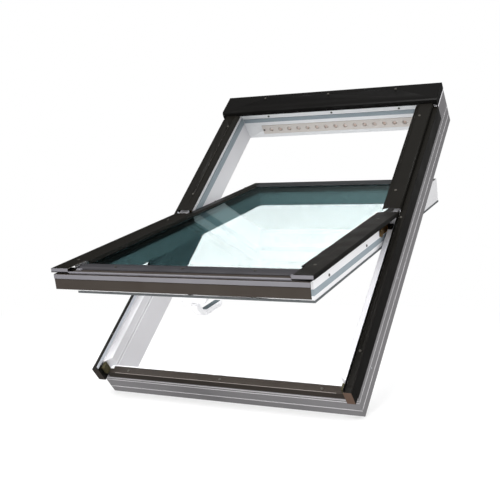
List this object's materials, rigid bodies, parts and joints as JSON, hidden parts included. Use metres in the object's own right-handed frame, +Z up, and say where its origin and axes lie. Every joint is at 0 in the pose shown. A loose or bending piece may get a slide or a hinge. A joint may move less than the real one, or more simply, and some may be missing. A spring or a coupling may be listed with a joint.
{
  "type": "centre-pivot roof window",
  "caption": "Pitched roof skylight: white frame and glazed centre-pivot sash in dark metal covers, sash part open, with arc hinges, handle and latch.",
  "frame": {"origin": "middle of the sill's room-side face", "axes": "+X to the right along the sill seen from outside, +Y horizontally into the roof, +Z up; the window lies at a 45 degree pitch"},
  "size_m": [0.784, 1.1534, 0.9461],
  "materials": {
    "white_pvc": "semi-gloss white PVC profile",
    "cover_paint": "matt dark brown-grey coated aluminium sheet",
    "black_plastic": "matt black moulded plastic",
    "olive_plastic": "matt dark olive moulded plastic",
    "glazing_cover": "grey coated aluminium extrusion",
    "light_aluminium": "satin natural aluminium",
    "grey_seal": "blue-grey EPDM profile",
    "dark_gasket": "dark grey EPDM profile",
    "grip_rubber": "soft dark grey-green grip",
    "zinc_steel": "zinc-plated steel",
    "dark_screws": "dark painted screw heads",
    "brass": "dull brass",
    "foam": "brown open-cell filter foam",
    "clear_glass": "clear float glass, faintly green"
  },
  "bodies": {
    "frame": {"frame_jamb_left": "white_pvc", "frame_jamb_right": "white_pvc", "frame_head": "white_pvc", "frame_sill": "white_pvc", "jamb_cores": "zinc_steel", "head_core": "zinc_steel", "sill_core": "zinc_steel", "side_cover_left": "cover_paint", "side_cover_right": "cover_paint", "side_cover_end_left": "cover_paint", "side_cover_end_right": "cover_paint", "weather_lip_left": "black_plastic", "weather_lip_right": "black_plastic", "upper_cover_left": "cover_paint", "upper_cover_right": "cover_paint", "head_cover": "cover_paint", "head_cover_cap_left": "black_plastic", "head_cover_cap_right": "black_plastic", "sill_cover": "cover_paint", "corner_block_left": "olive_plastic", "corner_block_right": "olive_plastic", "frame_seal": "grey_seal", "vent_strip": "white_pvc", "vent_filter": "foam", "frame_screws": "dark_screws", "hinge_housing_left": "zinc_steel", "hinge_housing_right": "zinc_steel", "striker_plate": "zinc_steel"},
    "sash": {"sash_stile_left": "white_pvc", "sash_stile_right": "white_pvc", "sash_top_rail": "white_pvc", "sash_bottom_rail": "white_pvc", "outer_pane": "clear_glass", "inner_pane": "clear_glass", "pane_spacer": "zinc_steel", "glazing_gasket": "dark_gasket", "sash_cover_left": "cover_paint", "sash_cover_right": "cover_paint", "cover_carrier_left": "light_aluminium", "cover_carrier_right": "light_aluminium", "sash_upper_cover_left": "cover_paint", "sash_upper_cover_right": "cover_paint", "top_rail_cover": "cover_paint", "bottom_glazing_cover": "glazing_cover", "glazing_cover_clips": "light_aluminium", "bottom_rail_cover": "cover_paint", "drip_strip": "light_aluminium", "sash_seal": "grey_seal", "sash_gasket": "dark_gasket", "hinge_arm_left": "zinc_steel", "hinge_arm_right": "zinc_steel", "hinge_brakes": "brass", "sash_screws": "dark_screws", "lock_case": "zinc_steel", "handle_base": "white_pvc"},
    "handle": {"handle": "white_pvc", "handle_grip": "grip_rubber", "spindle": "zinc_steel"},
    "latch": {"latch_bolt": "zinc_steel"}
  },
  "joints": [
    {"name": "sash_pivot", "type": "hinge", "parent": "frame", "child": "sash", "pos_m": [0, 0.30052, 0.53528], "axis": [-1, 0, 0], "range_deg": [-31.7, 76]},
    {"name": "handle_turn", "type": "hinge", "parent": "sash", "child": "handle", "pos_m": [0.006, -0.21199, 0.29082], "axis": [0, -0.23, 0.9732], "range_deg": [0, 90]},
    {"name": "latch_slide", "type": "slide", "parent": "sash", "child": "latch", "axis": [0, -0.9732, -0.23], "range_m": [0, 0.0121]}
  ],
  "couplings": [
    {"joint": "latch_slide", "follows": "handle_turn", "m_per_rad": 0.0076394}
  ]
}
